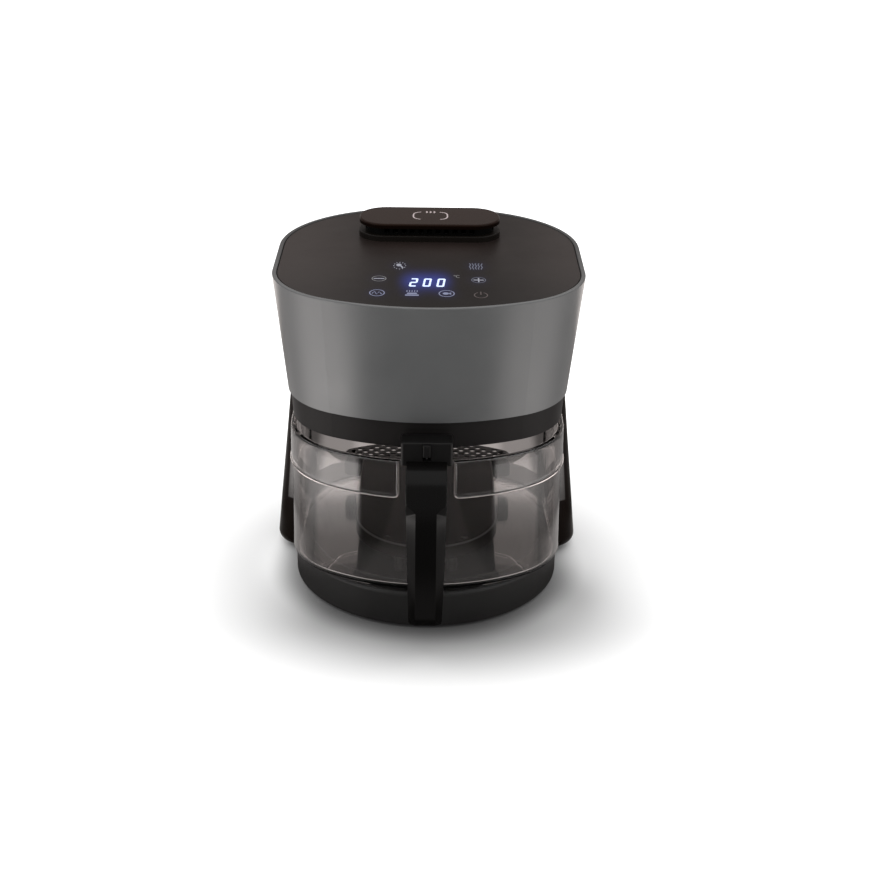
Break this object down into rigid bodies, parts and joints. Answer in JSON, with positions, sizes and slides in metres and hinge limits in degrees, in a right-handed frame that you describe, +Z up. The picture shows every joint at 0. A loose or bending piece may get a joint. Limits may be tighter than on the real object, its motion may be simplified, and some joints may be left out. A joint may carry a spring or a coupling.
{
  "type": "glass air fryer",
  "caption": "Countertop air fryer with a tapered grey head on a rear column, a round base, and a pull-out glass pot with a front handle and a perforated crisper tray.",
  "frame": {"origin": "centre of the bounding box on the surface it stands on", "axes": "+Z up, -Y towards the handle and the user, +X to the right seen from the front"},
  "size_m": [0.2978, 0.355, 0.332],
  "materials": {
    "shell_grey": "satin grey coat",
    "panel_dark": "smooth dark panel with a soft gloss",
    "black_satin": "fine satin moulding",
    "black_gloss": "polished moulding",
    "glass_clear": "clear heat-proof glass",
    "tray_coat": "non-stick coat",
    "silicone_black": "soft silicone",
    "rubber_foot": "matte rubber",
    "steel": "bare steel",
    "hood_steel": "aluminised sheet",
    "element_dark": "oxidised tube",
    "fan_alu": "pressed sheet",
    "motor_steel": "plated case",
    "copper_winding": "lacquered winding",
    "board_green": "circuit board",
    "display_dark": "display block",
    "spring_steel": "drawn wire",
    "magnet": "ferrite",
    "lead_black": "lead jacket",
    "cap_black": "polished moulding"
  },
  "bodies": {
    "housing": {"head_shell": "shell_grey", "top_panel": "panel_dark", "vent_plinth": "cap_black", "vent_neck": "cap_black", "vent_cap": "cap_black", "exhaust_duct": "black_satin", "lower_casing": "black_satin", "head_screws": "steel", "seal_ring": "silicone_black", "heater_hood": "hood_steel", "heating_element": "element_dark", "element_clips": "steel", "heater_guard": "steel", "motor_stator": "copper_winding", "motor_case": "motor_steel", "motor_bearings": "steel", "motor_bracket": "hood_steel", "bracket_screws": "steel", "power_board": "board_green", "heat_sensor": "steel", "thermal_cutout": "steel", "control_board": "board_green", "board_screws": "steel", "led_display": "display_dark", "touch_contacts": "spring_steel", "reed_switch": "display_dark", "rear_liner": "black_satin", "rear_shell": "black_gloss", "column_screws": "steel", "cord_gland": "silicone_black", "column_brace": "hood_steel", "supply_lead": "lead_black", "base_shell": "black_satin", "base_plate": "black_satin", "base_screws": "steel", "rubber_feet": "rubber_foot", "pot_seat": "silicone_black"},
    "pot": {"glass_pot": "glass_clear", "handle_pad": "silicone_black", "handle_mount": "black_gloss", "sensor_magnet": "magnet", "rim_clip": "steel", "clip_screws": "steel", "handle_grip": "black_gloss", "handle_inner": "black_satin", "handle_screws": "steel", "button_spring": "spring_steel"},
    "tray": {"crisper_tray": "tray_coat", "tray_feet": "silicone_black"},
    "button": {"release_button": "black_gloss"},
    "fan_rotor": {"motor_shaft": "steel", "convection_fan": "fan_alu", "cooling_fan": "fan_alu", "fan_nut": "steel", "motor_rotor": "motor_steel"}
  },
  "joints": [
    {"name": "pot_slide", "type": "slide", "parent": "housing", "child": "pot", "axis": [0, -1, 0], "range_m": [0, 0.29]},
    {"name": "tray_lift", "type": "slide", "parent": "pot", "child": "tray", "axis": [0, 0, 1], "range_m": [0, 0.07]},
    {"name": "button_slide", "type": "slide", "parent": "pot", "child": "button", "axis": [0, 0, -1], "range_m": [0, 0.0035], "stiffness_N_per_m": 300, "springref_m": -0.003, "deforming": ["button_spring"]},
    {"name": "fan_spin", "type": "hinge", "parent": "housing", "child": "fan_rotor", "pos_m": [0, -0.0035, 0.25], "axis": [0, 0, 1], "continuous": true}
  ]
}
